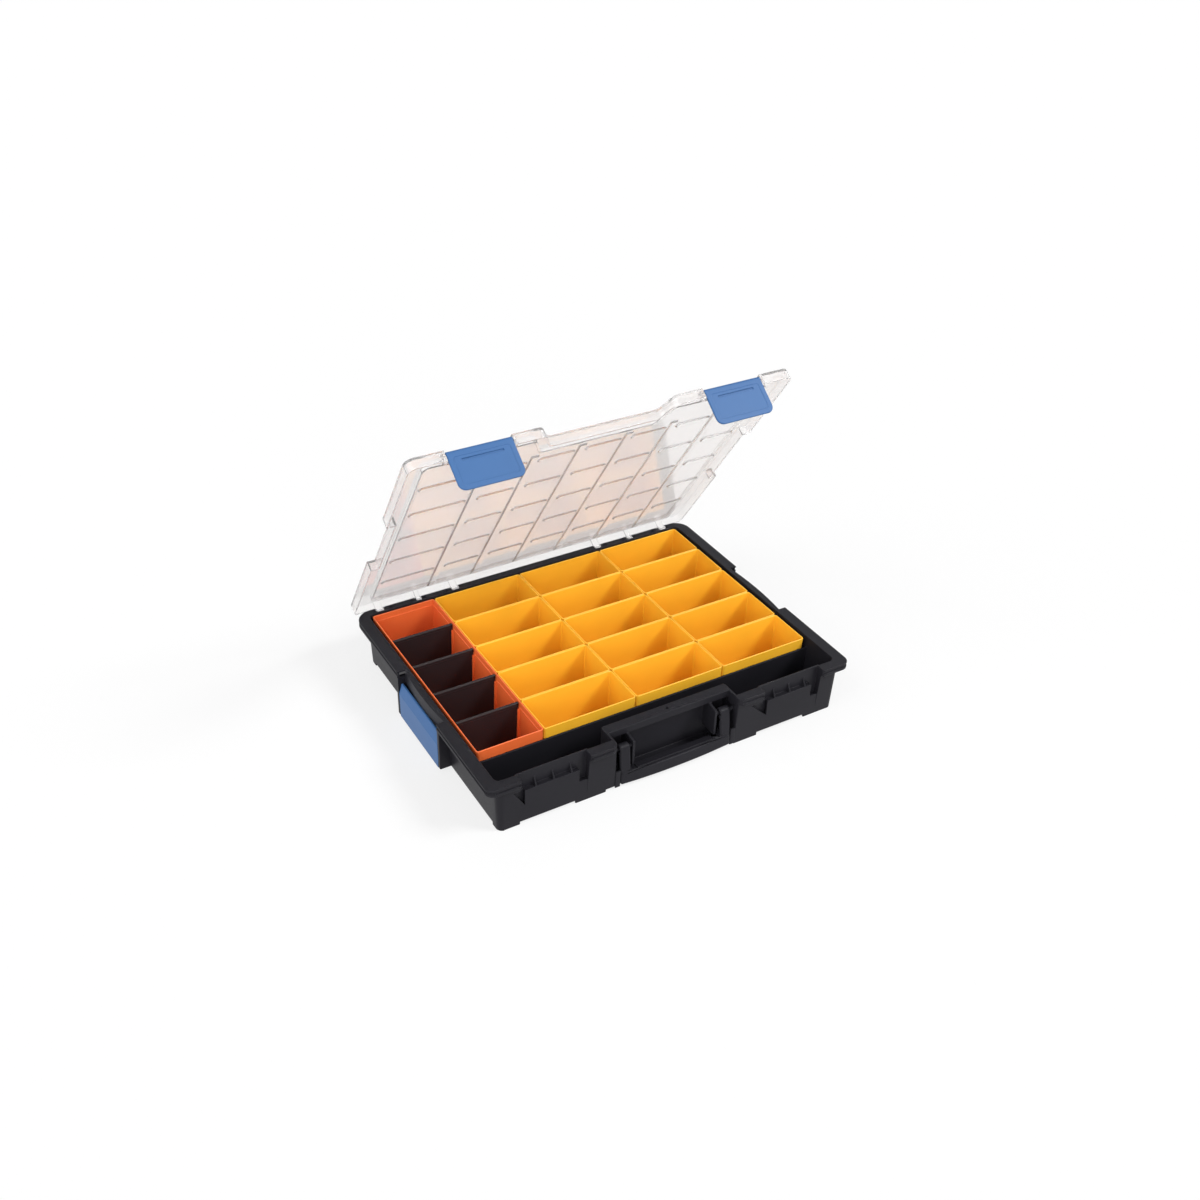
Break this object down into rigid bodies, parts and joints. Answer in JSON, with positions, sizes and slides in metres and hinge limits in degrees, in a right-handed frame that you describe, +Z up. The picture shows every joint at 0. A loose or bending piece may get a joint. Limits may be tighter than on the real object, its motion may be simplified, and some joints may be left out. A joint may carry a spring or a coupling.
{
  "type": "compartment organizer box",
  "caption": "Low hand-carried organizer case with a clear hinged lid, front latches, a folding handle, lift-out bins and a long divided bin",
  "frame": {"origin": "middle of the open box's outline in plan, on the surface that the feet stand on", "axes": "+X along the long side to the right as seen from the front, -Y to the front with the handle, +Z up; the lid is stored open"},
  "size_m": [0.447, 0.3541, 0.3493],
  "materials": {
    "case_black": "fine grain",
    "lid_clear": "clear",
    "bin_yellow": "satin",
    "bin_orange": "satin",
    "divider_dark": "satin",
    "clip_blue": "fine grain",
    "pin_steel": "drawn"
  },
  "bodies": {
    "base": {"base_shell": "case_black", "hinge_pin_left": "pin_steel", "hinge_pin_right": "pin_steel", "side_clip_pin_left": "pin_steel", "side_clip_pin_right": "pin_steel", "handle_pin_left": "case_black", "handle_pin_right": "case_black"},
    "lid": {"lid": "lid_clear", "latch_pin_left": "lid_clear", "latch_pin_right": "lid_clear"},
    "latch_left": {"latch_left": "clip_blue"},
    "latch_right": {"latch_right": "clip_blue"},
    "side_clip_left": {"side_clip_left": "clip_blue"},
    "side_clip_right": {"side_clip_right": "clip_blue"},
    "carry_handle": {"carry_handle": "case_black"},
    "long_bin": {"long_bin": "bin_orange"},
    "divider_1": {"divider_1": "divider_dark"},
    "divider_2": {"divider_2": "divider_dark"},
    "divider_3": {"divider_3": "divider_dark"},
    "divider_4": {"divider_4": "divider_dark"},
    "bin_row1_column1": {"bin_row1_column1": "bin_yellow"},
    "bin_row1_column2": {"bin_row1_column2": "bin_yellow"},
    "bin_row1_column3": {"bin_row1_column3": "bin_yellow"},
    "bin_row2_column1": {"bin_row2_column1": "bin_yellow"},
    "bin_row2_column2": {"bin_row2_column2": "bin_yellow"},
    "bin_row2_column3": {"bin_row2_column3": "bin_yellow"},
    "bin_row3_column1": {"bin_row3_column1": "bin_yellow"},
    "bin_row3_column2": {"bin_row3_column2": "bin_yellow"},
    "bin_row3_column3": {"bin_row3_column3": "bin_yellow"},
    "bin_row4_column1": {"bin_row4_column1": "bin_yellow"},
    "bin_row4_column2": {"bin_row4_column2": "bin_yellow"},
    "bin_row4_column3": {"bin_row4_column3": "bin_yellow"},
    "bin_row5_column1": {"bin_row5_column1": "bin_yellow"},
    "bin_row5_column2": {"bin_row5_column2": "bin_yellow"},
    "bin_row5_column3": {"bin_row5_column3": "bin_yellow"}
  },
  "joints": [
    {"name": "lid_hinge", "type": "hinge", "parent": "base", "child": "lid", "pos_m": [0, 0.16214, 0.0592], "axis": [-1, 0, 0], "range_deg": [-56.1, 54]},
    {"name": "latch_left_hinge", "type": "hinge", "parent": "lid", "child": "latch_left", "pos_m": [-0.147, -0.01624, 0.34403], "axis": [-1, 0, 0], "range_deg": [0, 96]},
    {"name": "latch_right_hinge", "type": "hinge", "parent": "lid", "child": "latch_right", "pos_m": [0.147, -0.01624, 0.34403], "axis": [-1, 0, 0], "range_deg": [0, 96]},
    {"name": "side_clip_left_hinge", "type": "hinge", "parent": "base", "child": "side_clip_left", "pos_m": [-0.21965, -0.00696, 0.0065], "axis": [0, -1, 0], "range_deg": [0, 60]},
    {"name": "side_clip_right_hinge", "type": "hinge", "parent": "base", "child": "side_clip_right", "pos_m": [0.21965, -0.00696, 0.0065], "axis": [0, 1, 0], "range_deg": [0, 60]},
    {"name": "carry_handle_hinge", "type": "hinge", "parent": "base", "child": "carry_handle", "pos_m": [0, -0.16336, 0.0455], "axis": [-1, 0, 0], "range_deg": [0, 95]},
    {"name": "long_bin_lift", "type": "slide", "parent": "base", "child": "long_bin", "axis": [0, 0, 1], "range_m": [0, 0.014]},
    {"name": "divider_1_lift", "type": "slide", "parent": "long_bin", "child": "divider_1", "axis": [0, 0, 1], "range_m": [0, 0.05]},
    {"name": "divider_2_lift", "type": "slide", "parent": "long_bin", "child": "divider_2", "axis": [0, 0, 1], "range_m": [0, 0.05]},
    {"name": "divider_3_lift", "type": "slide", "parent": "long_bin", "child": "divider_3", "axis": [0, 0, 1], "range_m": [0, 0.05]},
    {"name": "divider_4_lift", "type": "slide", "parent": "long_bin", "child": "divider_4", "axis": [0, 0, 1], "range_m": [0, 0.05]},
    {"name": "bin_row1_column1_lift", "type": "slide", "parent": "base", "child": "bin_row1_column1", "axis": [0, 0, 1], "range_m": [0, 0.014]},
    {"name": "bin_row1_column2_lift", "type": "slide", "parent": "base", "child": "bin_row1_column2", "axis": [0, 0, 1], "range_m": [0, 0.014]},
    {"name": "bin_row1_column3_lift", "type": "slide", "parent": "base", "child": "bin_row1_column3", "axis": [0, 0, 1], "range_m": [0, 0.014]},
    {"name": "bin_row2_column1_lift", "type": "slide", "parent": "base", "child": "bin_row2_column1", "axis": [0, 0, 1], "range_m": [0, 0.06]},
    {"name": "bin_row2_column2_lift", "type": "slide", "parent": "base", "child": "bin_row2_column2", "axis": [0, 0, 1], "range_m": [0, 0.06]},
    {"name": "bin_row2_column3_lift", "type": "slide", "parent": "base", "child": "bin_row2_column3", "axis": [0, 0, 1], "range_m": [0, 0.06]},
    {"name": "bin_row3_column1_lift", "type": "slide", "parent": "base", "child": "bin_row3_column1", "axis": [0, 0, 1], "range_m": [0, 0.06]},
    {"name": "bin_row3_column2_lift", "type": "slide", "parent": "base", "child": "bin_row3_column2", "axis": [0, 0, 1], "range_m": [0, 0.06]},
    {"name": "bin_row3_column3_lift", "type": "slide", "parent": "base", "child": "bin_row3_column3", "axis": [0, 0, 1], "range_m": [0, 0.06]},
    {"name": "bin_row4_column1_lift", "type": "slide", "parent": "base", "child": "bin_row4_column1", "axis": [0, 0, 1], "range_m": [0, 0.06]},
    {"name": "bin_row4_column2_lift", "type": "slide", "parent": "base", "child": "bin_row4_column2", "axis": [0, 0, 1], "range_m": [0, 0.06]},
    {"name": "bin_row4_column3_lift", "type": "slide", "parent": "base", "child": "bin_row4_column3", "axis": [0, 0, 1], "range_m": [0, 0.06]},
    {"name": "bin_row5_column1_lift", "type": "slide", "parent": "base", "child": "bin_row5_column1", "axis": [0, 0, 1], "range_m": [0, 0.06]},
    {"name": "bin_row5_column2_lift", "type": "slide", "parent": "base", "child": "bin_row5_column2", "axis": [0, 0, 1], "range_m": [0, 0.06]},
    {"name": "bin_row5_column3_lift", "type": "slide", "parent": "base", "child": "bin_row5_column3", "axis": [0, 0, 1], "range_m": [0, 0.06]}
  ]
}
